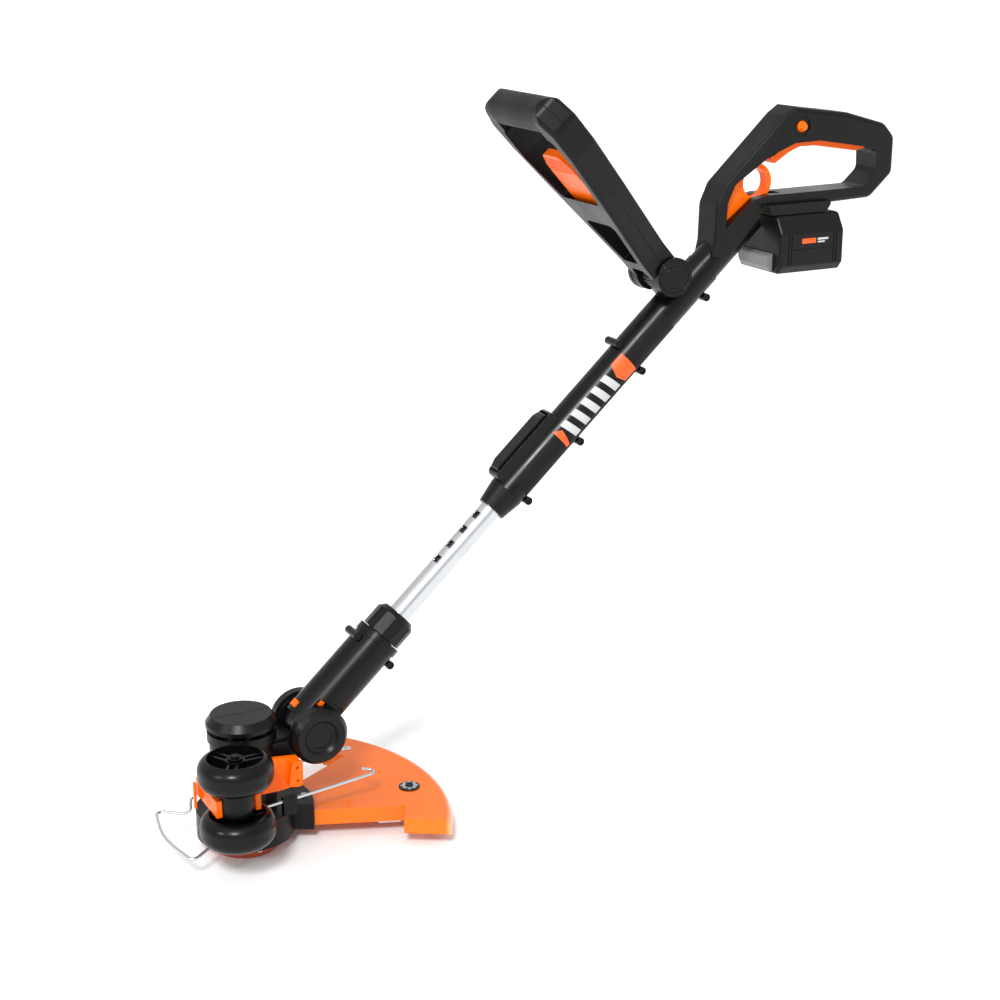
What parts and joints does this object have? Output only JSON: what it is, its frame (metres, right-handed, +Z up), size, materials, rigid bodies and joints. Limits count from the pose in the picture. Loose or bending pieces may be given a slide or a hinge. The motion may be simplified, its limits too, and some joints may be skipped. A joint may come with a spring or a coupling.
{
  "type": "string trimmer",
  "caption": "Cordless string trimmer and edger with a telescopic tube, tilting loop grip, rear D-handle, edging wheels, clear guard and slide-on battery.",
  "frame": {"origin": "centre of the spool cover underside, on the motor axis, where the tool rests on the ground", "axes": "+Z up along the motor axis, +X from the cutting head to the rear handle, -Y the side the edging wheels are on"},
  "size_m": [0.8093, 0.2329, 0.7008],
  "materials": {
    "black_shell": "injection-moulded black plastic",
    "black_gloss": "glossier black plastic",
    "soft_grip": "soft overmould",
    "orange": "moulded orange plastic",
    "clear_orange": "translucent orange plastic",
    "cover_red": "dull orange-red plastic",
    "line": "nylon trimmer line",
    "aluminium": "drawn tube",
    "steel": "turned or pressed steel",
    "black_steel": "black oxide steel",
    "chrome": "plated wire",
    "motor_can": "zinc plated can",
    "bush": "nylon bush",
    "brass": "contact blades",
    "grey": "light grey plastic",
    "cells": "cell wrap",
    "label": "printed label"
  },
  "bodies": {
    "upper_unit": {"rear_handle_near_shell": "black_shell", "rear_handle_far_shell": "black_shell", "spine_overmould": "soft_grip", "power_switch": "black_shell", "lever_pins": "black_steel", "battery_dock": "black_shell", "dock_blades": "brass", "outer_tube_near_shell": "black_shell", "outer_tube_far_shell": "black_shell", "tube_screws": "black_steel", "tube_labels": "label", "tube_collar": "black_shell", "latch_base": "black_gloss", "loop_hub": "black_gloss", "loop_bolt": "black_steel"},
    "trigger": {"trigger": "orange"},
    "lock_button": {"lock_button": "orange"},
    "feed_lever": {"feed_lever": "orange"},
    "latch_lever": {"latch_lever": "black_gloss"},
    "loop": {"loop_front_shell": "black_shell", "loop_back_shell": "black_shell", "loop_grip": "soft_grip", "loop_knobs": "black_gloss"},
    "loop_lever": {"loop_lever": "orange"},
    "battery": {"battery_case": "black_shell", "battery_cells": "cells"},
    "battery_latch": {"battery_latch": "grey"},
    "shaft": {"inner_tube": "aluminium", "tube_bush": "bush"},
    "neck": {"neck_near_shell": "black_shell", "neck_far_shell": "black_shell", "neck_screws": "black_steel", "neck_collet": "black_shell"},
    "lock_nut": {"lock_nut": "black_shell"},
    "tilt_button": {"tilt_button": "orange"},
    "head": {"motor_housing": "black_shell", "motor_cap": "black_shell", "motor": "motor_can", "guard_mount": "black_shell", "guard": "clear_orange", "guard_screws": "steel", "line_cutter": "steel", "guard_rivet": "black_shell", "rivet_washer": "steel", "wheel_carrier": "orange", "wheel_axle": "black_steel", "axle_spacer": "black_shell", "axle_clips": "black_steel", "pivot_pin": "steel", "pivot_knobs": "black_shell"},
    "cutting_head": {"rotor_shaft": "steel", "spool_driver": "black_shell", "line_spool": "black_shell", "line_winding": "line", "spool_spring": "steel", "spool_cover": "cover_red", "line_eyelets": "steel"},
    "wheel_lower": {"wheel_lower": "black_gloss"},
    "wheel_upper": {"wheel_upper": "black_gloss"},
    "wire_guard": {"wire_guard": "chrome"}
  },
  "joints": [
    {"name": "tube_slide", "type": "slide", "parent": "upper_unit", "child": "shaft", "axis": [0.7373, 0, 0.6756], "range_m": [-0.038, 0.113]},
    {"name": "neck_twist", "type": "hinge", "parent": "shaft", "child": "neck", "pos_m": [0.06395, 0, 0.11442], "axis": [0.7373, 0, 0.6756], "range_deg": [0, 180]},
    {"name": "lock_nut_turn", "type": "hinge", "parent": "neck", "child": "lock_nut", "pos_m": [0.15242, 0, 0.19549], "axis": [0.7373, 0, 0.6756], "range_deg": [0, 120]},
    {"name": "head_tilt", "type": "hinge", "parent": "neck", "child": "head", "pos_m": [0.068, 0, 0.11], "axis": [0, 1, 0], "range_deg": [-45, 30]},
    {"name": "tilt_button_press", "type": "slide", "parent": "neck", "child": "tilt_button", "axis": [0.6756, 0, -0.7373], "range_m": [0, 0.003], "stiffness_N_per_m": 400, "springref_m": -0.002},
    {"name": "cutting_head_spin", "type": "hinge", "parent": "head", "child": "cutting_head", "pos_m": [0, 0, 0.03], "axis": [0, 0, 1], "continuous": true},
    {"name": "lower_wheel_spin", "type": "hinge", "parent": "head", "child": "wheel_lower", "pos_m": [-0.032, -0.072, 0.058], "axis": [0, 0, 1], "continuous": true},
    {"name": "upper_wheel_spin", "type": "hinge", "parent": "head", "child": "wheel_upper", "pos_m": [-0.032, -0.072, 0.114], "axis": [0, 0, 1], "continuous": true},
    {"name": "wire_guard_slide", "type": "slide", "parent": "head", "child": "wire_guard", "axis": [-0.9959, 0, -0.0905], "range_m": [0, 0.07]},
    {"name": "latch_lever_rock", "type": "hinge", "parent": "upper_unit", "child": "latch_lever", "pos_m": [0.32347, 0, 0.38479], "axis": [0, 1, 0], "range_deg": [0, 12], "stiffness_Nm_per_rad": 0.3, "springref_deg": -5.73},
    {"name": "loop_tilt", "type": "hinge", "parent": "upper_unit", "child": "loop", "pos_m": [0.45566, 0, 0.5188], "axis": [0, 1, 0], "range_deg": [-50, 20]},
    {"name": "loop_lever_squeeze", "type": "hinge", "parent": "loop", "child": "loop_lever", "pos_m": [0.38064, 0, 0.5918], "axis": [0, 1, 0], "range_deg": [0, 8], "stiffness_Nm_per_rad": 0.6, "springref_deg": -5.73},
    {"name": "trigger_squeeze", "type": "hinge", "parent": "upper_unit", "child": "trigger", "pos_m": [0.69, 0, 0.636], "axis": [0, 1, 0], "range_deg": [0, 5], "stiffness_Nm_per_rad": 1.2, "springref_deg": -5.73},
    {"name": "lock_button_press", "type": "slide", "parent": "upper_unit", "child": "lock_button", "axis": [0, 1, 0], "range_m": [0, 0.0035], "stiffness_N_per_m": 500},
    {"name": "feed_lever_pull", "type": "hinge", "parent": "upper_unit", "child": "feed_lever", "pos_m": [0.531, 0, 0.556], "axis": [0, 1, 0], "range_deg": [0, 7], "stiffness_Nm_per_rad": 0.5, "springref_deg": -5.73},
    {"name": "battery_slide", "type": "slide", "parent": "upper_unit", "child": "battery", "axis": [1, 0, 0], "range_m": [0, 0.09]},
    {"name": "battery_latch_press", "type": "slide", "parent": "battery", "child": "battery_latch", "axis": [1, 0, 0], "range_m": [0, 0.001], "stiffness_N_per_m": 400, "springref_m": -0.001}
  ]
}
